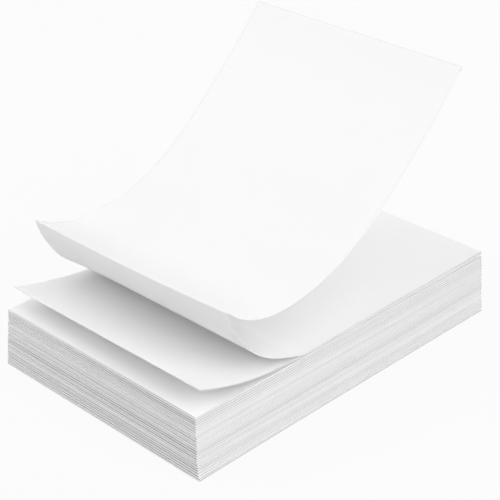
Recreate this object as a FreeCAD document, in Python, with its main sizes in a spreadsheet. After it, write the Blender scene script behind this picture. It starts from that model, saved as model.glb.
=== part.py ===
import FreeCAD, Part

import math
import os

# Fanfold thermal paper: one long strip, folded to and fro into a stack of equal leaves. It is one piece.
# The strip's section is drawn in the YZ plane and pushed out along X by the paper's width. Y runs along
# a leaf, with the front folds at -Y, and Z is up. The origin is the middle of the stack's underside.
# From the top, the leaves are: the free leaf, which sweeps up and back; the curled leaf, which turns over
# from the free leaf's crease down on to the stack; the lifted pair, whose front fold stands off the stack;
# and the flat leaves of the stack itself. The gaps between the flat leaves go in a little way from each
# side, and inside that the stack is solid.

SIZES = [
    ("paper_width", 101.6, "Width of the strip, along X"),
    ("leaf_length", 152.4, "Length of a flat leaf over its two folds, along Y"),
    ("leaf_thickness", 0.38, "Thickness of one leaf of the flat stack"),
    ("raised_thickness", 0.2, "Thickness of the raised leaves"),
    ("thinning_length", 12.0, "Length over which the strip thins from the one to the other"),
    ("front_folds", 26, "Front folds in the flat stack, with two leaves to each"),
    ("fold_gap", 0.06, "Gap between the two leaves of one front fold"),
    ("layer_gap", 0.116, "Middle gap between one front fold and the next"),
    ("layer_gap_change", 0.07, "How far that gap goes up and down through the stack"),
    ("gap_depth", 3.0, "How far the gaps between the flat leaves go in from the stack's sides"),
    ("fold_setback", 0.25, "How far the most recessed fold lies inside the stack's ends"),
    ("loose_gap", 0.77, "Gap above and below the lifted pair, where the leaves lie loose"),
    ("pair_gap", 0.12, "Gap between the two leaves of the lifted pair"),
    ("lift_radius", 107.0, "Radius to which the lifted pair bends up"),
    ("lift_turn", 24.0, "Angle through which it bends up, in degrees"),
    ("curl_radius", 41.0, "Radius of the curled leaf"),
    ("curl_turn", 75.8, "Angle through which it curls, in degrees"),
    ("crease_radius", 0.06, "Inside radius of the crease between the curled leaf and the free leaf"),
    ("crease_turn", 147.6, "Angle through which that crease turns, in degrees"),
    ("free_leaf_trim", 10.2, "How much shorter than a whole leaf the free leaf was cut"),
    ("first_bend_radius", 35.0, "Radius of the free leaf next to its crease"),
    ("first_bend_turn", 42.3, "Angle of that bend, in degrees"),
    ("second_bend_radius", 71.0, "Radius of the free leaf's second bend"),
    ("second_bend_turn", 25.2, "Angle of that bend, in degrees"),
    ("third_bend_radius", 102.0, "Radius of the free leaf's third bend"),
    ("third_bend_turn", 15.4, "Angle of that bend, in degrees"),
    ("last_bend_radius", 345.0, "Radius of the long last stretch, out to the cut end"),
]

TOWARDS_FRONT = math.pi
HALF_TURN = math.pi


class FoldedStrip:
    """The middle line of the strip, drawn as straight runs and arcs that meet without a kink.

    Points are (y, z), a heading is an angle from +Y towards +Z, and a turn is positive to the left.
    """

    def __init__(self, start, heading, thickness):
        self.y, self.z = start
        self.heading = heading
        self.half = thickness / 2
        self.left_side = []
        self.right_side = []

    def beside(self, offset):
        """The point that lies offset to the left of the middle line's end."""
        y = self.y - offset * math.sin(self.heading)
        z = self.z + offset * math.cos(self.heading)
        return FreeCAD.Vector(0, y, z)

    def run(self, length):
        """Go straight on."""
        self.thin(length, 2 * self.half)

    def thin(self, length, thickness):
        """Go straight on, and change evenly to the given thickness."""
        starts = [self.beside(self.half), self.beside(-self.half)]
        self.y += length * math.cos(self.heading)
        self.z += length * math.sin(self.heading)
        self.half = thickness / 2
        ends = [self.beside(self.half), self.beside(-self.half)]
        self.left_side.append(Part.LineSegment(starts[0], ends[0]).toShape())
        self.right_side.append(Part.LineSegment(starts[1], ends[1]).toShape())

    def run_to(self, y):
        """Go straight on, level, to the given y."""
        self.run(abs(y - self.y))

    def bend(self, radius, turn):
        """Turn by an angle on an arc whose middle line has the given radius."""
        centre = self.beside(math.copysign(radius, turn))
        points = {self.half: [], -self.half: []}
        for share in (0, 0.5, 1):
            heading = self.heading + turn * share
            for offset, arc in points.items():
                reach = math.copysign(radius, turn) - offset
                y = centre.y + reach * math.sin(heading)
                z = centre.z - reach * math.cos(heading)
                arc.append(FreeCAD.Vector(0, y, z))
        self.heading += turn
        self.y = centre.y + math.copysign(radius, turn) * math.sin(self.heading)
        self.z = centre.z - math.copysign(radius, turn) * math.cos(self.heading)
        self.left_side.append(Part.Arc(*points[self.half]).toShape())
        self.right_side.append(Part.Arc(*points[-self.half]).toShape())

    def face(self):
        """The strip's section: both sides, closed across the two cut ends."""
        first = [side[0].firstVertex().Point for side in (self.left_side, self.right_side)]
        last = [self.beside(self.half), self.beside(-self.half)]
        ends = [Part.LineSegment(*first).toShape(), Part.LineSegment(*last).toShape()]
        outline = self.left_side + [ends[1]] + self.right_side[::-1] + [ends[0]]
        return Part.Face(Part.Wire(outline))


def write_sizes(document):
    """Put the driving sizes in a sheet, one to a row, with a name for each."""
    sheet = document.addObject("Spreadsheet::Sheet", "sizes")
    for row, (name, value, meaning) in enumerate(SIZES, start=1):
        sheet.set("A%d" % row, name)
        sheet.set("B%d" % row, str(value))
        sheet.setAlias("B%d" % row, name)
        sheet.set("C%d" % row, meaning)
    document.recompute()
    return sheet


def unevenness(index):
    """A fixed number from -1 to 1 for each layer, so that no two layers lie quite alike."""
    return math.sin(2.4 * index * index)


def fold_radius(gap, thickness):
    """Radius of the middle line round a fold that leaves the given gap between its leaves."""
    return (gap + thickness) / 2


def lay_flat_stack(strip, sheet):
    """Fold the flat leaves to and fro, from the bottom leaf's cut end to the fold below the lifted pair."""
    thickness = sheet.leaf_thickness
    folds = int(sheet.front_folds)
    for layer in range(folds):
        radius = fold_radius(sheet.fold_gap, thickness)
        setback = sheet.fold_setback * abs(unevenness(layer + folds))
        strip.run_to(setback + thickness / 2 + radius - sheet.leaf_length / 2)
        strip.bend(radius, -HALF_TURN)
        top = layer == folds - 1
        change = sheet.layer_gap_change * unevenness(layer)
        gap = sheet.loose_gap if top else sheet.layer_gap + change
        radius = fold_radius(gap, thickness)
        setback = 0 if top else sheet.fold_setback * abs(unevenness(layer + 2 * folds))
        strip.run_to(sheet.leaf_length / 2 - radius - thickness / 2 - setback)
        strip.bend(radius, HALF_TURN)


def lift_pair(strip, sheet):
    """Two leaves that lie loose on the stack and bend up together to the fold that joins them."""
    thickness = sheet.raised_thickness
    loose = fold_radius(sheet.loose_gap, thickness)
    close = fold_radius(sheet.pair_gap, thickness)
    turn = math.radians(sheet.lift_turn)
    lower_radius = sheet.lift_radius + 2 * close
    lower_flat = strip.y + sheet.leaf_length / 2 - close - thickness / 2 - lower_radius * turn
    strip.thin(sheet.thinning_length, thickness)
    strip.run(lower_flat - sheet.thinning_length)
    strip.bend(lower_radius, -turn)
    strip.bend(close, -HALF_TURN)
    strip.bend(sheet.lift_radius, turn)
    strip.run(sheet.leaf_length - thickness - loose - close - sheet.lift_radius * turn)
    strip.bend(loose, HALF_TURN)


def curl_over(strip, sheet):
    """The leaf that lies on the lifted pair, then curls up and back to its crease."""
    thickness = sheet.raised_thickness
    loose = fold_radius(sheet.loose_gap, thickness)
    crease = sheet.crease_radius + thickness / 2
    turn = math.radians(sheet.curl_turn)
    between_folds = sheet.leaf_length - thickness - loose - crease
    strip.run(between_folds - sheet.curl_radius * turn)
    strip.bend(sheet.curl_radius, -turn)
    strip.bend(crease, -math.radians(sheet.crease_turn))


def sweep_up(strip, sheet):
    """The free leaf, which dips behind its crease and then sweeps up, ever straighter, to its cut end."""
    left = sheet.leaf_length - sheet.free_leaf_trim
    bends = [
        (sheet.first_bend_radius, math.radians(sheet.first_bend_turn)),
        (sheet.second_bend_radius, math.radians(sheet.second_bend_turn)),
        (sheet.third_bend_radius, math.radians(sheet.third_bend_turn)),
    ]
    for radius, turn in bends:
        strip.bend(radius, turn)
        left -= radius * turn
    strip.bend(sheet.last_bend_radius, left / sheet.last_bend_radius)


def section(document, sheet):
    """The strip's section, as a face in the YZ plane, and the height of the top flat leaf's middle."""
    start = (sheet.leaf_length / 2, sheet.leaf_thickness / 2)
    strip = FoldedStrip(start, TOWARDS_FRONT, sheet.leaf_thickness)
    lay_flat_stack(strip, sheet)
    top_middle = strip.z - sheet.loose_gap - sheet.leaf_thickness
    lift_pair(strip, sheet)
    curl_over(strip, sheet)
    sweep_up(strip, sheet)
    profile = document.addObject("Part::Feature", "strip_section")
    profile.Label = "strip_section"
    profile.Shape = strip.face()
    return profile, top_middle


def push_out(document, profile):
    """Give the section the paper's width, half to each side of the middle."""
    leaves = document.addObject("Part::Extrusion", "folded_leaves")
    leaves.Label = "folded_leaves"
    leaves.Base = profile
    leaves.DirMode = "Custom"
    leaves.Dir = FreeCAD.Vector(1, 0, 0)
    leaves.Symmetric = True
    leaves.Solid = True
    leaves.setExpression("LengthFwd", "sizes.paper_width")
    return leaves


def fill_inside(document, sheet, leaves, top_middle):
    """Close the gaps inside the stack, from the middle of its bottom leaf to the middle of its top one."""
    core = document.addObject("Part::Box", "stack_core")
    core.Label = "stack_core"
    core.setExpression("Length", "sizes.paper_width - 2 * sizes.gap_depth")
    core.setExpression("Width", "sizes.leaf_length - 2 * sizes.gap_depth")
    core.setExpression("Placement.Base.x", "sizes.gap_depth - sizes.paper_width / 2")
    core.setExpression("Placement.Base.y", "sizes.gap_depth - sizes.leaf_length / 2")
    core.setExpression("Placement.Base.z", "sizes.leaf_thickness / 2")
    core.Height = top_middle - sheet.leaf_thickness / 2
    paper = document.addObject("Part::MultiFuse", "fanfold_paper")
    paper.Label = "fanfold_paper"
    paper.Shapes = [leaves, core]
    return paper


def check(document, node):
    """Stop if anything in the document failed, or if the paper isn't one sound solid."""
    for item in document.Objects:
        if "Invalid" in item.State or "Error" in item.State:
            raise RuntimeError("%s failed: %s" % (item.Label, item.State))
    shape = node.Shape
    if shape.isNull() or not shape.isValid():
        raise RuntimeError("%s has no valid shape" % node.Label)
    if len(shape.Solids) != 1:
        raise RuntimeError("%s has %d solids" % (node.Label, len(shape.Solids)))


def main():
    document = FreeCAD.newDocument("fanfold_thermal_paper")
    sheet = write_sizes(document)
    profile, top_middle = section(document, sheet)
    leaves = push_out(document, profile)
    paper = fill_inside(document, sheet, leaves, top_middle)
    document.recompute()
    check(document, paper)

    os.makedirs("parts", exist_ok=True)
    paper.Shape.exportStep("parts/%s.step" % paper.Label)
    box = paper.Shape.BoundBox
    print("%s: x %.2f to %.2f, y %.2f to %.2f, z %.2f to %.2f mm, %.0f mm3, %d faces" % (
        paper.Label, box.XMin, box.XMax, box.YMin, box.YMax, box.ZMin, box.ZMax,
        paper.Shape.Volume, len(paper.Shape.Faces)))


main()
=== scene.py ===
# %% [markdown]
# # Fanfold thermal paper
# This lesson dresses a stack of fanfold thermal paper: one long strip of white paper, folded to and fro.
# The packed model comes in first. It is the fixed frame of the lesson: what is built here lies where that
# model says, and every size is in metres.

import math

import bmesh
import bpy
from mathutils import Matrix, Vector, noise


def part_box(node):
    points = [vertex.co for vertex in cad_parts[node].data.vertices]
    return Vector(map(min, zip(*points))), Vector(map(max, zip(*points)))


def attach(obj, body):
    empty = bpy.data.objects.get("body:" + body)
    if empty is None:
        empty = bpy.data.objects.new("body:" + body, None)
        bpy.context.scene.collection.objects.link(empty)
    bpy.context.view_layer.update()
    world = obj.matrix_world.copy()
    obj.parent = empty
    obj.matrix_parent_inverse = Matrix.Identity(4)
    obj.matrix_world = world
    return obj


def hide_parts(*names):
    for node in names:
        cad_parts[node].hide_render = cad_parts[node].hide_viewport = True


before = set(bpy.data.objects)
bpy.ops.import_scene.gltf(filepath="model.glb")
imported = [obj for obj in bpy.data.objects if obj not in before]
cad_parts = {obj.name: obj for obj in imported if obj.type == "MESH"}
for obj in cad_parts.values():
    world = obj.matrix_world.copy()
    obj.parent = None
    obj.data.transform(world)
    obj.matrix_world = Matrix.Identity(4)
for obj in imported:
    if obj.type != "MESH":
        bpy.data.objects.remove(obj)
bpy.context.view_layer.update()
paper_low, paper_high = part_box("fanfold_paper")
print("nodes:", sorted(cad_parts), "from", tuple(paper_low), "to", tuple(paper_high))

# %% [markdown]
# ## Camera
# A product picture of a low stack is taken from a corner and a little above, with a long lens, so that
# upright edges stay nearly upright. The camera could be given a position and three angles. Here it is placed
# by its direction from the stack instead: how far round it stands, how high, and how far off. That is easier
# to read and to correct.

# %% Place the camera
mm = 0.001
camera_azimuth = math.radians(45.3)
camera_elevation = math.radians(28.5)
camera_roll = math.radians(-0.85)
camera_distance = 590.5 * mm
camera_lens = 113.5
aim = Vector((-0.1 * mm, -0.1 * mm, 38.0 * mm))


def look_from(azimuth, elevation, roll):
    """The turn of a camera that far round from -Y towards +X and that high, and the way out to it."""
    back = Vector((
        math.sin(azimuth) * math.cos(elevation),
        -math.cos(azimuth) * math.cos(elevation),
        math.sin(elevation)))
    level = Vector((math.cos(azimuth), math.sin(azimuth), 0.0))
    upright = back.cross(level)
    right = level * math.cos(roll) + upright * math.sin(roll)
    up = upright * math.cos(roll) - level * math.sin(roll)
    return Matrix((right, up, back)).transposed(), back


turn, back = look_from(camera_azimuth, camera_elevation, camera_roll)
bpy.ops.object.camera_add()
camera = bpy.context.object
camera.name = "product_camera"
camera.data.lens = camera_lens
camera.matrix_world = Matrix.Translation(aim + back * camera_distance) @ turn.to_4x4()
bpy.context.scene.camera = camera
print("camera at", tuple(round(value, 3) for value in camera.matrix_world.translation))

# %% [markdown]
# ## The strip's sizes
# The real object is one strip, so it is modelled as one sheet that never ends, laid down leaf by leaf from
# the bottom. The paper's width is read from the frame. The other sizes are those of the leaves, the folds
# and the bends, so that the new sheet lies where the solid lies that it stands for. Settling moves it a
# little afterwards.

# %% Name the sizes of the flat stack
paper_width = paper_high.x - paper_low.x
leaf_length = 152.4 * mm
leaf_thickness = 0.38 * mm
front_folds = 26
fold_gap = 0.06 * mm
layer_gap = 0.116 * mm
layer_gap_change = 0.07 * mm
fold_setback = 0.25 * mm
half_turn = math.pi
print("paper %.1f mm wide, leaves %.1f mm long" % (paper_width / mm, leaf_length / mm))

# %% Name the sizes of the raised leaves
raised_thickness = 0.2 * mm
loose_gap = 0.77 * mm
pair_gap = 0.12 * mm
straight_start = 12.0 * mm
lift_radius = 107.0 * mm
lift_turn = math.radians(24.0)
curl_radius = 41.0 * mm
curl_turn = math.radians(75.8)
crease_radius = 0.06 * mm
crease_turn = math.radians(147.6)
free_leaf_trim = 10.2 * mm
sweep_bends = [
    (35.0 * mm, math.radians(42.3)),
    (71.0 * mm, math.radians(25.2)),
    (102.0 * mm, math.radians(15.4)),
]
last_bend_radius = 345.0 * mm
print("the free leaf is %.1f mm long" % ((leaf_length - free_leaf_trim) / mm))

# %% [markdown]
# ## A pen for folding paper
# A fold is half a turn round a line across the paper, and a bend is a part of a turn. Blender's spin does
# both: it carries the sheet's last row of edges round a centre. Extrude carries it straight on. A small
# class keeps the place and the heading of that last row, so that each step starts where the last one ended.

# %% Make the pen
coarse_step = 3.0 * mm


class PaperPen:
    """Lays a sheet down from its last row of edges, which stays selected in edit mode."""

    def __init__(self, y, z, heading):
        self.y = y
        self.z = z
        self.heading = heading

    def run(self, length):
        """Lay the sheet straight on."""
        step = Vector((0.0, length * math.cos(self.heading), length * math.sin(self.heading)))
        bpy.ops.mesh.extrude_region_move(TRANSFORM_OT_translate={"value": step})
        self.y += step.y
        self.z += step.z

    def run_to(self, y):
        """Lay the sheet level, to the given y."""
        self.run(abs(y - self.y))

    def bend(self, radius, angle, longest=coarse_step, fewest=1):
        """Lay the sheet round an arc, in steps no longer and no fewer than the given ones."""
        side = math.copysign(radius, angle)
        centre = (self.y - side * math.sin(self.heading), self.z + side * math.cos(self.heading))
        steps = max(fewest, math.ceil(radius * abs(angle) / longest))
        bpy.ops.mesh.spin(steps=steps, angle=angle, center=(0.0, *centre), axis=(-1.0, 0.0, 0.0))
        self.heading += angle
        self.y = centre[0] + side * math.sin(self.heading)
        self.z = centre[1] - side * math.cos(self.heading)


print("the pen can", [name for name in vars(PaperPen) if not name.startswith("_")])

# %% [markdown]
# ## The flat stack
# The sheet starts as a grid one cell long and many cells wide: the bottom leaf. Its front row of edges is
# then folded up and back again, twice for each layer. The leaves could be modelled once and copied, but
# then they wouldn't join. The gaps and the places of the folds differ a little from layer to layer, as
# they do in a pack of paper. That, with the painted shade of the stack's lines below, gives the side of the
# stack its fine uneven lines.

# %% Measure the folds
def fold_radius(gap, thickness):
    """Radius of the sheet's middle round a fold that leaves the given gap between its leaves."""
    return (gap + thickness) / 2


front_radius = fold_radius(fold_gap, leaf_thickness)
print("front folds turn on a radius of %.2f mm" % (front_radius / mm))

# %% Set the folds back unevenly
scatter = 2.4


def unevenness(index):
    """A fixed number from -1 to 1 for each layer, so that no two layers lie quite alike."""
    return math.sin(scatter * index * index)


def front_target(layer):
    """Where the middle of a layer's front fold begins, along Y."""
    setback = fold_setback * abs(unevenness(layer + front_folds))
    return setback + leaf_thickness / 2 + front_radius - leaf_length / 2


print("the lowest front fold is set back %.2f mm" % (fold_setback * abs(unevenness(front_folds)) / mm))

# %% Lay the bottom leaf
columns = 32
bottom_run = leaf_length / 2 - front_target(0)
bpy.ops.object.select_all(action="DESELECT")
bpy.ops.mesh.primitive_grid_add(x_subdivisions=columns, y_subdivisions=1, size=1.0)
strip = bpy.context.object
strip.name = "white_paper_strip"
bpy.ops.object.mode_set(mode="EDIT")
bpy.ops.mesh.select_mode(type="VERT")
bpy.ops.mesh.select_all(action="SELECT")
bpy.ops.transform.resize(value=(paper_width, bottom_run, 1.0))
bpy.ops.transform.translate(value=(0.0, (leaf_length - bottom_run) / 2, leaf_thickness / 2))
bpy.ops.mesh.select_all(action="DESELECT")
shape = bmesh.from_edit_mesh(strip.data)
for vertex in shape.verts:
    if vertex.co.y < 0:
        vertex.select_set(True)
shape.select_flush(True)
bmesh.update_edit_mesh(strip.data)
pen = PaperPen(front_target(0), leaf_thickness / 2, math.pi)
print("bottom leaf laid, its front row at y %.1f mm" % (pen.y / mm))

# %% Fold the flat stack
fold_steps = 8
fold_heights = []
for layer in range(front_folds):
    if layer > 0:
        pen.run_to(front_target(layer))
    fold_heights.append(pen.z + front_radius)
    pen.bend(front_radius, -half_turn, fewest=fold_steps)
    top = layer == front_folds - 1
    gap = loose_gap if top else layer_gap + layer_gap_change * unevenness(layer)
    back_radius = fold_radius(gap, leaf_thickness)
    setback = 0 if top else fold_setback * abs(unevenness(layer + 2 * front_folds))
    pen.run_to(leaf_length / 2 - back_radius - leaf_thickness / 2 - setback)
    pen.bend(back_radius, half_turn, fewest=fold_steps)
stack_top = pen.z - loose_gap - leaf_thickness / 2
print("flat stack %.1f mm high" % (stack_top / mm))

# %% [markdown]
# ## The raised leaves
# Two leaves lie loose on the stack and bend up together towards the front, where a fold joins them. The
# next leaf lies on them, then curls up and back to a sharp crease. From that crease the free leaf dips and
# sweeps up, ever straighter, to the end where it was cut. The pen goes on from the stack, so the sheet
# stays in one piece. What is left of a leaf's length after its bends is its straight run.

# %% Lay the lifted pair
raised_fold_steps = 10
loose = fold_radius(loose_gap, raised_thickness)
close = fold_radius(pair_gap, raised_thickness)
lower_radius = lift_radius + 2 * close
pen.run(straight_start)
pen.run(pen.y + leaf_length / 2 - close - raised_thickness / 2 - lower_radius * lift_turn)
pen.bend(lower_radius, -lift_turn)
pen.bend(close, -half_turn, fewest=raised_fold_steps)
lifted_fold = Vector((0.0, pen.y, pen.z))
pen.bend(lift_radius, lift_turn)
pen.run(leaf_length - raised_thickness - loose - close - lift_radius * lift_turn)
pen.bend(loose, half_turn, fewest=raised_fold_steps)
print("lifted fold at y %.1f, z %.1f mm" % (lifted_fold.y / mm, lifted_fold.z / mm))

# %% Lay the curled leaf
fine_step = 2.0 * mm
crease = crease_radius + raised_thickness / 2
pen.run(leaf_length - raised_thickness - loose - crease - curl_radius * curl_turn)
pen.bend(curl_radius, -curl_turn, longest=fine_step)
pen.bend(crease, -crease_turn, fewest=raised_fold_steps)
crease_place = Vector((0.0, pen.y, pen.z))
print("crease at y %.1f, z %.1f mm" % (crease_place.y / mm, crease_place.z / mm))

# %% Lay the free leaf
left = leaf_length - free_leaf_trim
for radius, bend_turn in sweep_bends:
    pen.bend(radius, bend_turn, longest=fine_step)
    left -= radius * bend_turn
pen.bend(last_bend_radius, left / last_bend_radius)
cut_end_height = pen.z
bpy.ops.object.mode_set(mode="OBJECT")
print("cut end at y %.1f, z %.1f mm" % (pen.y / mm, cut_end_height / mm))

# %% [markdown]
# ## Settling the flat leaves
# Paper never lies quite as it is drawn. Each leaf slides a little to one side, and folds aren't quite
# straight. A cloth simulation of some fifty leaves would take long and could push them through each other.
# So every point of the sheet is moved by a rule that reads where the point lies, the same way each time.
# The long runs are cut into shorter lengths first, so that they can bend.

# %% Cut the long runs
long_run = 20 * mm
cuts_in_run = 7
bpy.ops.object.mode_set(mode="EDIT")
bpy.ops.mesh.select_mode(type="EDGE")
bpy.ops.mesh.select_all(action="DESELECT")
shape = bmesh.from_edit_mesh(strip.data)
for edge in shape.edges:
    if edge.calc_length() > long_run:
        edge.select_set(True)
bmesh.update_edit_mesh(strip.data)
bpy.ops.mesh.subdivide(number_cuts=cuts_in_run)
bpy.ops.mesh.select_all(action="SELECT")
bpy.ops.mesh.normals_make_consistent(inside=False)
bpy.ops.object.mode_set(mode="OBJECT")
print(len(strip.data.polygons), "faces in the sheet")

# %% Settle the flat leaves
leaf_slide = 0.10 * mm
slide_drift = 90 * mm
slide_slice = 0.5
fold_wander = 0.08 * mm
wander_drift = 40 * mm
wander_slice = 7.5


def settle_flat(place):
    """The slide of a point to one side and along its leaf. Each layer has noise of its own."""
    layer = place.z / (2 * leaf_thickness)
    slide = leaf_slide * noise.noise(Vector((layer, place.y / slide_drift, slide_slice)))
    wander = fold_wander * noise.noise(Vector((layer, place.x / wander_drift, wander_slice)))
    return Vector((slide, wander, 0.0))


flat_points = [vertex for vertex in strip.data.vertices if vertex.co.z < stack_top]
raised_points = [vertex for vertex in strip.data.vertices if vertex.co.z >= stack_top]
for vertex in flat_points:
    vertex.co += settle_flat(vertex.co)
print("settled", len(flat_points), "points of the flat leaves")

# %% [markdown]
# ## Settling the raised leaves
# A raised leaf is held on one side only, so it tips and hangs. Here the crease is lower at its left end, and
# the curled leaf bulges there. The free leaf rises a little behind the crease. The lifted pair droops at
# its left, and its corner curls. Each of these is a small shift that fades out away from its place, in a
# function of its own, and a point's shifts are added up. All of them take how far to the left the point
# lies, from 0 at the right edge to 1 at the left one.

# %% Tip the crease
crease_tip = 2.5 * mm
crease_level = 0.12
crease_bow = 0.7 * mm
crease_pull = 1.2 * mm
curl_reach = 15.0 * mm
free_leaf_reach = 6.0 * mm
parting_slope = 1.7


def tip_crease(place, to_left):
    """Lower the crease and pull it back at its left. The curl follows it further than the free leaf."""
    behind = place.y - crease_place.y
    below = crease_place.z - place.z
    reach = free_leaf_reach if below < parting_slope * behind else curl_reach
    near = math.exp(-(behind ** 2 + below ** 2) / reach ** 2)
    droop = crease_tip * (to_left - crease_level) + crease_bow * math.sin(math.pi * to_left)
    return Vector((0.0, crease_pull * to_left ** 2, -droop)) * near


print("at its left end the crease moves", tip_crease(crease_place, 1.0))

# %% Bulge the curled leaf
raised_from = 4 * mm
belly_behind_crease = 15 * mm
belly_under_crease = 23 * mm
belly_bulge = 0.9 * mm
belly_reach = 9.0 * mm
belly_fade = 2 * mm
belly = Vector((0.0, crease_place.y + belly_behind_crease, crease_place.z - belly_under_crease))


def ease(value):
    """0 below 0 and 1 above 1, with a soft start and end between them."""
    value = min(max(value, 0.0), 1.0)
    return value * value * (3 - 2 * value)


def bulge_curl(place, to_left):
    """Push the curled leaf's belly out at its left end, but not where it meets the loose leaves."""
    from_belly = (place.y - belly.y) ** 2 + (place.z - belly.z) ** 2
    clear = ease((place.z - stack_top - raised_from) / belly_fade)
    bulge = belly_bulge * math.exp(-from_belly / belly_reach ** 2) * to_left ** 6 * clear
    return Vector((0.0, -bulge, -bulge))


print("at its left end the belly moves", bulge_curl(belly, 1.0))

# %% Lift the hollow behind the crease
hollow_depth = 14 * mm
hollow_from_crease = 29.0 * mm
hollow_lift = 0.6 * mm
hollow_reach = 18.0 * mm


def lift_hollow(place, to_left):
    """Raise the free leaf's left edge where it dips, and leave what lies deeper alone."""
    if crease_place.z - place.z >= hollow_depth:
        return Vector()
    from_middle = place.y - crease_place.y - hollow_from_crease
    return Vector((0.0, 0.0, hollow_lift * math.exp(-(from_middle / hollow_reach) ** 2) * to_left ** 3))


print("the hollow's left edge rises by up to %.1f mm" % (hollow_lift / mm))

# %% Let the lifted fold droop
fold_droop = 1.1 * mm
fold_pull = 2.2 * mm
fold_reach = 30.0 * mm
lip_droop = 1.5 * mm
lip_reach = 18.0 * mm
corner_lift = 0.6 * mm
corner_length = 14.0 * mm
over_fold = 2 * mm


def droop_fold(place, to_left):
    """Pull the lifted pair back and down at its left, and curl its corner up again."""
    if place.z >= lifted_fold.z + over_fold:
        return Vector()
    from_fold = place.y - lifted_fold.y
    share = ease(1 - from_fold / fold_reach)
    lip = ease(1 - from_fold / lip_reach)
    corner = ease(1 - (place.x - paper_low.x) / corner_length) * share ** 2
    down = (fold_droop * share + lip_droop * lip) * to_left ** 2
    return Vector((0.0, fold_pull * to_left ** 2 * share, corner_lift * corner - down))


print("at its left end the lifted fold moves", droop_fold(lifted_fold, 1.0))

# %% [markdown]
# ## Laying the loose leaves down
# The backs of the raised leaves are drawn level, with even gaps between them. Real ones lie down on the
# stack under their own weight, and only their back folds hold them apart. A short table gives each level's
# height as drawn, and where it lies in front and at the back. Between the levels, heights are shared out
# evenly, so no leaf can pass through another.

# %% Lay the loose leaves down
lying_from = -38 * mm
lying_to = -22 * mm
back_pull = 0.45 * mm
loose_height = 3 * mm
rise_power = 0.75
top_level = 3
lying_heights = [
    (0.0, 0.0, 0.0),
    (0.96 * mm, 0.22 * mm, 0.79 * mm),
    (1.29 * mm, 0.50 * mm, 1.57 * mm),
    (2.25 * mm, 0.78 * mm, 2.3 * mm),
    (6.0 * mm, 6.0 * mm, 6.0 * mm),
]


def backwards(y):
    """0 where the loose leaves come to lie, rising to 1 at their back folds, which hold them apart."""
    return max((y - lying_to) / (leaf_length / 2 - lying_to), 0) ** rise_power


def lying_height(level, y):
    """The height over the flat stack at which a loose leaf of that level lies."""
    in_front, at_back = lying_heights[level][1:]
    return in_front + (at_back - in_front) * backwards(y)


def lie_down(height, y):
    """The height over the flat stack that a point drawn at that height comes down to."""
    for level in range(1, len(lying_heights)):
        low, high = lying_heights[level - 1][0], lying_heights[level][0]
        if height <= high:
            new_low, new_high = lying_height(level - 1, y), lying_height(level, y)
            lying = new_low + (height - low) * (new_high - new_low) / (high - low)
            return height + (lying - height) * ease((y - lying_from) / (lying_to - lying_from))
    return height


print("in front the top loose leaf lies %.2f mm over the stack" % (lying_height(top_level, lying_to) / mm))

# %% Settle the raised leaves
def settle_raised(place):
    """The whole shift of a point of the raised and loose leaves."""
    to_left = 0.5 - place.x / paper_width
    shift = tip_crease(place, to_left)
    shift += bulge_curl(place, to_left)
    shift += lift_hollow(place, to_left)
    shift += droop_fold(place, to_left)
    height = place.z - stack_top
    shift.z += lie_down(height, place.y) - height
    if height < loose_height:
        shift.y -= back_pull * backwards(place.y)
    return shift


for vertex in raised_points:
    vertex.co += settle_raised(vertex.co)
print("settled", len(raised_points), "points of the raised leaves")

# %% [markdown]
# ## Thickness
# So far the sheet has none. Solidify grows it by half a leaf's thickness to each side. The raised leaves
# are thinner, so a vertex group tells the modifier how much of the thickness each point gets. The loose
# leaves thicken towards their back folds, where they fill the height that the folds hold open.

# %% Thicken the sheet
thickest = 0.42 * mm
thinnest = 0.15 * mm
smooth_under = math.radians(35)
group = strip.vertex_groups.new(name="thickness share")
for vertex in strip.data.vertices:
    thickness = leaf_thickness
    if vertex.co.z > stack_top:
        lying = backwards(vertex.co.y) if vertex.co.z < stack_top + loose_height else 0.0
        thickness = thinnest + (thickest - thinnest) * lying
    group.add([vertex.index], thickness / thickest, "REPLACE")

thicken = strip.modifiers.new("paper thickness", "SOLIDIFY")
thicken.thickness = thickest
thicken.offset = 0.0
thicken.vertex_group = group.name
thicken.use_even_offset = True
bpy.ops.object.modifier_apply(modifier=thicken.name)
bpy.ops.object.shade_smooth_by_angle(angle=smooth_under)
print(len(strip.data.polygons), "faces once thick")

# %% [markdown]
# ## The foot of the stack
# The sides of a pack of loose sheets aren't plumb. Its weight spreads the foot, most in front. The lowest
# sheets stick out at the near corner, and the whole corner has slid half a millimetre to the left and
# forward. Scaling each layer would spread the foot alike all round. Moving the points by a rule that reads
# their place gives each side its own amount, and is one short loop.

# %% Spread the foot of the stack
side_spread = 1.1 * mm
side_spread_in_front = 0.6 * mm
end_spread = 0.6 * mm
end_spread_in_front = 0.8 * mm
corner_spread = 0.75 * mm
corner_height = 3.5 * mm
corner_shift = 0.5 * mm
shifted_to = stack_top + 8 * mm
shift_fade = 5 * mm
for vertex in strip.data.vertices:
    place = vertex.co
    depth = max(1 - place.z / stack_top, 0)
    to_front = 0.5 - place.y / leaf_length
    to_right = 0.5 + place.x / paper_width
    sideways = depth * (side_spread + side_spread_in_front * to_front) * place.x / (paper_width / 2)
    endways = depth * (end_spread + end_spread_in_front * to_front) * place.y / (leaf_length / 2)
    flare = corner_spread * max(1 - place.z / corner_height, 0) * to_front ** 3 * to_right ** 2
    shift = corner_shift * to_front * to_right * ease((shifted_to - place.z) / shift_fade)
    vertex.co += Vector((sideways + flare - shift, endways - shift, 0.0))
across = [vertex.co.x for vertex in strip.data.vertices]
print("the foot is %.1f mm wide" % ((max(across) - min(across)) / mm))
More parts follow.
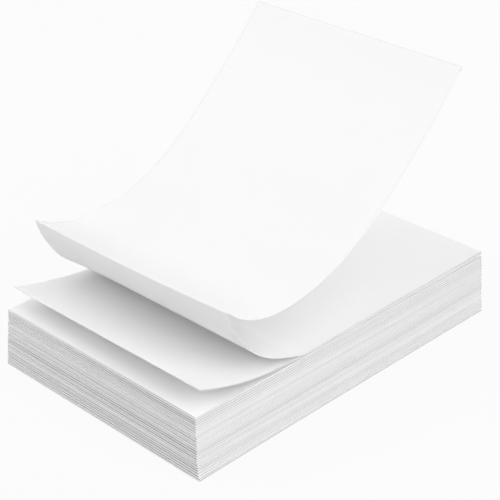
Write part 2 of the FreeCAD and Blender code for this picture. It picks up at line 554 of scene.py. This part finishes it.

# %% [markdown]
# ## Finish
# Thermal paper is bright white and smooth, with a faint sheen. One finish with a single colour would do for
# its faces, but the free leaf bends through every angle to the light and still looks evenly white. So the
# finish carries painted light and shade by height. It is darker low down: on the paper just over the stack,
# where the loose leaves and the lifted pair lie in the curl's shade, and on the curl. It is lighter higher up
# the free leaf. Along the free leaf's cut sides and its cut end runs a thin rim of painted shade, which keeps
# a white leaf apart from a white background. Heights and distances across the paper are read from Object
# coordinates, so both stay on the paper from every side.

# %% Mix a plain paper finish
shade_line_attribute = "nearness to a line"
line_start = 0.5


def paper_finish(name, white, line=None, start=line_start):
    """A matt white paper. With a line tone given, it darkens to that tone near the stack's lines, as painted
    shade.
    """
    finish = bpy.data.materials.new(name)
    finish.use_nodes = True
    nodes = finish.node_tree.nodes
    shader = nodes["Principled BSDF"]
    shader.inputs["Base Color"].default_value = (white, white, white, 1.0)
    shader.inputs["Roughness"].default_value = 0.6
    shader.inputs["Specular IOR Level"].default_value = 0.25
    if line is not None:
        nearness = nodes.new("ShaderNodeAttribute")
        nearness.attribute_name = shade_line_attribute
        tones = nodes.new("ShaderNodeValToRGB")
        tones.color_ramp.elements[0].position = start
        tones.color_ramp.elements[0].color = (white, white, white, 1.0)
        tones.color_ramp.elements[1].color = (line, line, line, 1.0)
        finish.node_tree.links.new(nearness.outputs["Fac"], tones.inputs["Fac"])
        finish.node_tree.links.new(tones.outputs["Color"], shader.inputs["Base Color"])
    return finish


face_finish = paper_finish("thermal_paper_face", 0.95)
print("mixed", face_finish.name)

# %% Find the painted shade rim of the free leaf
rim_width = 0.3 * mm
rim_from_left = 36 * mm
rim_from_right = 67 * mm
right_rim = 0.55
cut_end_rim = 0.4


def maths(finish, operation, *values):
    """The result of a maths node that takes the given sockets and plain numbers."""
    node = finish.node_tree.nodes.new("ShaderNodeMath")
    node.operation = operation
    for socket, value in zip(node.inputs, values):
        if isinstance(value, float):
            socket.default_value = value
        else:
            finish.node_tree.links.new(value, socket)
    return node.outputs[0]


def painted_rim_shade(finish, across, height):
    """Strength of the painted rim shade: 1 at the free leaf's left side, less at its right side and cut end,
    and 0 elsewhere.
    """
    at_side = maths(finish, "GREATER_THAN", maths(finish, "ABSOLUTE", across), paper_width / 2 - rim_width)
    tilt = (rim_from_left - rim_from_right) / paper_width
    tilted_height = maths(finish, "MULTIPLY_ADD", across, tilt, height)
    raised = maths(finish, "GREATER_THAN", tilted_height, (rim_from_left + rim_from_right) / 2)
    fading = maths(finish, "MULTIPLY_ADD", across, (right_rim - 1) / paper_width, (right_rim + 1) / 2)
    side_rim = maths(finish, "MULTIPLY", maths(finish, "MULTIPLY", at_side, raised), fading)
    at_end = maths(finish, "GREATER_THAN", height, cut_end_height - rim_width)
    return maths(finish, "MAXIMUM", side_rim, maths(finish, "MULTIPLY", at_end, cut_end_rim))


print("the rim is %.1f mm wide" % (rim_width / mm))

# %% List the painted light and shade of the faces by height
tallest = 110 * mm
# Painted light and shade: tones under 0.95 darken paper that lies in shade, and tones over it lighten the
# free leaf higher up.
painted_light_and_shade_tones = [
    (25.4 * mm, 0.95),
    (26.2 * mm, 0.92),
    (29 * mm, 0.93),
    (33 * mm, 0.95),
    (40 * mm, 0.928),
    (50 * mm, 0.922),
    (58 * mm, 0.95),
    (70 * mm, 0.967),
    (92 * mm, 0.968),
    (104 * mm, 0.956),
]
print(len(painted_light_and_shade_tones), "tones, from", min(tone for height, tone in painted_light_and_shade_tones), "up")

# %% Paint light and shade on the faces
# Painted shade: the free leaf's rim is darkened towards this tone.
painted_rim_shade_tone = 0.84


def paint_light_and_shade(finish):
    """Paint light and shade into a finish by height, and painted shade into the free leaf's rim."""
    nodes = finish.node_tree.nodes
    links = finish.node_tree.links
    place = nodes.new("ShaderNodeSeparateXYZ")
    links.new(nodes.new("ShaderNodeTexCoord").outputs["Object"], place.inputs[0])

    tones = nodes.new("ShaderNodeValToRGB")
    stops = tones.color_ramp.elements
    stops[0].position = painted_light_and_shade_tones[0][0] / tallest
    stops[1].position = painted_light_and_shade_tones[-1][0] / tallest
    for height, tone in painted_light_and_shade_tones[1:-1]:
        stops.new(height / tallest)
    for stop, (height, tone) in zip(stops, painted_light_and_shade_tones):
        stop.color = (tone, tone, tone, 1.0)
    links.new(maths(finish, "DIVIDE", place.outputs["Z"], tallest), tones.inputs["Fac"])

    edged = nodes.new("ShaderNodeMix")
    edged.data_type = "RGBA"
    edged.inputs["B"].default_value = (painted_rim_shade_tone, painted_rim_shade_tone, painted_rim_shade_tone, 1.0)
    links.new(painted_rim_shade(finish, place.outputs["X"], place.outputs["Z"]), edged.inputs["Factor"])
    links.new(tones.outputs["Color"], edged.inputs["A"])
    links.new(edged.outputs["Result"], nodes["Principled BSDF"].inputs["Base Color"])


paint_light_and_shade(face_finish)
strip.data.materials.append(face_finish)
print(len(face_finish.node_tree.nodes), "nodes in", face_finish.name)

# %% [markdown]
# ## The stack's lines
# Seen from the side, the stack is finely lined: dark where one fold lies on the next and the gap between them
# is in shade, light between those lines, and never quite alike. That darkness is painted shade. A striped
# texture could draw it, but its stripes would miss the folds. So how near a point is to such a line is
# worked out once from the folds themselves, and kept on the mesh as an attribute. The two edge finishes, one
# for the folds and one for the cut sides, read it and darken their colour by it.

# %% Mix the edge finishes
side_line_start = 0.6
# Painted shade: near the stack's lines each edge finish darkens towards its line tone.
fold_finish = paper_finish("thermal_paper_folds", 0.95, line=0.40)
side_finish = paper_finish("thermal_paper_cut_sides", 0.92, line=0.50, start=side_line_start)
strip.data.materials.append(fold_finish)
strip.data.materials.append(side_finish)
print("finishes:", [finish.name for finish in strip.data.materials])

# %% Find the painted shade lines of the stack
half_fold = front_radius + leaf_thickness / 2
fold_depth = 0.9 * mm
fold_change = 0.08
tone_change = 0.15
tone_step = 1.7
line_drift = 110 * mm
front_shade_drift = 0.08
front_shade_rise = 0.03
side_shade_start = -0.05
side_shade_rise = 0.18


def stack_shade_line(place):
    """Nearness to a painted shade line in the flat stack: about 0 half-way up a fold, about 1 where it lies
    on the next.
    """
    fold = min(range(front_folds), key=lambda index: abs(place.z - fold_heights[index]))
    nearness = min(abs(place.z - fold_heights[fold]) / half_fold, 1)
    change = tone_change * noise.noise(
        Vector((tone_step * fold, place.x / line_drift, place.y / line_drift)))
    # Painted shade by place: the back folds and the cut sides darken towards the top, the front folds towards
    # the right and the top.
    shade = side_shade_start + side_shade_rise * place.z / stack_top
    if place.y < fold_depth - leaf_length / 2:
        shade = front_shade_drift * place.x / paper_width + front_shade_rise * (place.z / stack_top) ** 2
    return nearness * (1 + fold_change * unevenness(fold) + change) + shade


print("on the lowest fold's middle", round(stack_shade_line(Vector((0.0, 0.0, fold_heights[0]))), 3))

# %% Write the painted shade lines on the sheet
raised_edge_shade = 0.66
loose_from = leaf_thickness / 4
painted_foot_shadow = 1.25
foot_shadow_height = 1.1 * leaf_thickness
foot_shadow_fade = 0.6


def nearness_to_shade_line(place, normal):
    """Nearness to a painted shade line anywhere on the sheet. The raised leaves' edges, the lowest leaf and
    the top loose leaf's rim get painted shade.
    """
    rise = place.z - stack_top
    # Painted shade: the raised leaves' edges are a little darker.
    if rise > raised_from:
        return raised_edge_shade
    if rise > loose_from:
        # Painted shade: a dark line along the top loose leaf's upper edge.
        top_edge_shade = rise > lying_height(top_level, place.y) and place.y > lying_from and normal.z > 0
        return 1.0 if top_edge_shade else line_start
    # Painted contact shadow: the lowest leaf darkens towards the floor.
    if place.z < foot_shadow_height:
        return painted_foot_shadow - foot_shadow_fade * place.z / leaf_thickness
    return stack_shade_line(place)


nearness = strip.data.attributes.new(shade_line_attribute, "FLOAT", "POINT")
for vertex in strip.data.vertices:
    nearness.data[vertex.index].value = nearness_to_shade_line(vertex.co, vertex.normal)
dark = sum(item.value > 1 for item in nearness.data)
print(dark, "points lie on a dark line")

# %% Put the finishes on the sheet
FACE, FOLDS, CUT_SIDES = range(3)
cut_end_depth = 2 * leaf_thickness
lifted_fold_depth = 5 * mm
facing_front = -0.3
facing_side = 0.9
largest_bend_face = 1e-6
for polygon in strip.data.polygons:
    middle = polygon.center
    at_fold = abs(middle.y) > leaf_length / 2 - fold_depth
    at_cut_end = middle.z > cut_end_height - cut_end_depth
    at_lifted_fold = middle.z > stack_top + raised_from and middle.y < lifted_fold_depth - leaf_length / 2
    # Painted shade: small faces round the lifted fold's front and at the free leaf's cut end take the darker
    # cut-side finish, which dims the fold's lit rounding and the cut end.
    at_bend = at_cut_end or at_lifted_fold and polygon.normal.y < facing_front
    if at_fold and middle.z < stack_top:
        polygon.material_index = FOLDS
    elif abs(polygon.normal.x) > facing_side or at_bend and polygon.area < largest_bend_face:
        polygon.material_index = CUT_SIDES
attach(strip, "root")
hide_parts("fanfold_paper")
print(sum(polygon.material_index != FACE for polygon in strip.data.polygons), "faces show edges")

# %% [markdown]
# ## Floor
# The stack stands on a plain pale floor. More light would make the floor white, but it would wash the paper
# out as well. So the floor stays a matt light grey for the light that falls on it and comes back, and for
# the camera alone most of it glows white. What is left of the grey keeps the stack's soft shadow.

# %% Lay the floor
floor_size = 6.0
floor_tone = 0.8
glow_tone = 0.99
glow_share = 0.9
bpy.ops.object.select_all(action="DESELECT")
bpy.ops.mesh.primitive_plane_add(size=floor_size)
floor = bpy.context.object
floor.name = "studio_floor"
floor_finish = bpy.data.materials.new("floor_white")
floor_finish.use_nodes = True
nodes = floor_finish.node_tree.nodes
links = floor_finish.node_tree.links
matt = nodes["Principled BSDF"]
matt.inputs["Base Color"].default_value = (floor_tone, floor_tone, floor_tone, 1.0)
matt.inputs["Roughness"].default_value = 1.0
matt.inputs["Specular IOR Level"].default_value = 0.0
glow = nodes.new("ShaderNodeEmission")
glow.inputs["Color"].default_value = (glow_tone, glow_tone, glow_tone, 1.0)
seen = nodes.new("ShaderNodeLightPath").outputs["Is Camera Ray"]
mix = nodes.new("ShaderNodeMixShader")
links.new(maths(floor_finish, "MULTIPLY", seen, glow_share), mix.inputs["Fac"])
links.new(matt.outputs[0], mix.inputs[1])
links.new(glow.outputs[0], mix.inputs[2])
links.new(mix.outputs[0], nodes["Material Output"].inputs["Surface"])
floor.data.materials.append(floor_finish)
print("floor laid at z", floor.location.z)

# %% [markdown]
# ## Light
# Folded white paper shows its form by soft shadow alone. One lamp would cut hard shadows, so the light
# comes from large square softboxes, all round and above. The two on the right make the stack's right side
# bright. Only one stands in front, on the left, so the front of the stack is greyer. The one behind
# reaches in under the free leaf. The world adds almost nothing to the paper. For the camera it is as pale
# as the floor, so that a low view has no dark horizon.

# %% Make the world pale
world_strength = 0.01
seen_strength = 0.9
world = bpy.data.worlds.new("studio")
world.use_nodes = True
nodes = world.node_tree.nodes
links = world.node_tree.links
nodes["Background"].inputs["Color"].default_value = (1.0, 1.0, 1.0, 1.0)
strength = nodes.new("ShaderNodeMix")
strength.inputs["A"].default_value = world_strength
strength.inputs["B"].default_value = seen_strength
links.new(nodes.new("ShaderNodeLightPath").outputs["Is Camera Ray"], strength.inputs["Factor"])
links.new(strength.outputs["Result"], nodes["Background"].inputs["Strength"])
bpy.context.scene.world = world
print("the world lights the paper at a strength of", world_strength)

# %% Hang the softboxes
softbox_size = 0.8
softboxes = [
    ("back_softbox", (0.0, 1.0, 0.5), 4.4),
    ("back_left_softbox", (-0.7, 0.7, 0.5), 1.2),
    ("right_softbox", (1.0, 0.0, 0.4), 4.75),
    ("upper_right_softbox", (0.6, 0.0, 0.8), 4.1),
    ("upper_left_softbox", (-0.6, 0.0, 0.8), 2.75),
    ("upper_front_softbox", (0.0, -0.6, 0.8), 1.7),
    ("front_softbox", (-0.7, -0.7, 0.5), 4.9),
]
for name, place, power in softboxes:
    bpy.ops.object.light_add(type="AREA", location=place)
    light = bpy.context.object
    light.name = name
    light.data.shape = "SQUARE"
    light.data.size = softbox_size
    light.data.energy = power
    light.rotation_euler = Vector(place).to_track_quat("Z", "Y").to_euler()
bpy.context.scene.view_settings.view_transform = "Standard"
print(len(softboxes), "softboxes, each turned to the stack")

# %% [markdown]
# ## The end of the lesson
# The paper, its floor, its light and its camera are now in place.

# %% Finish the lesson
print("the lesson is done")
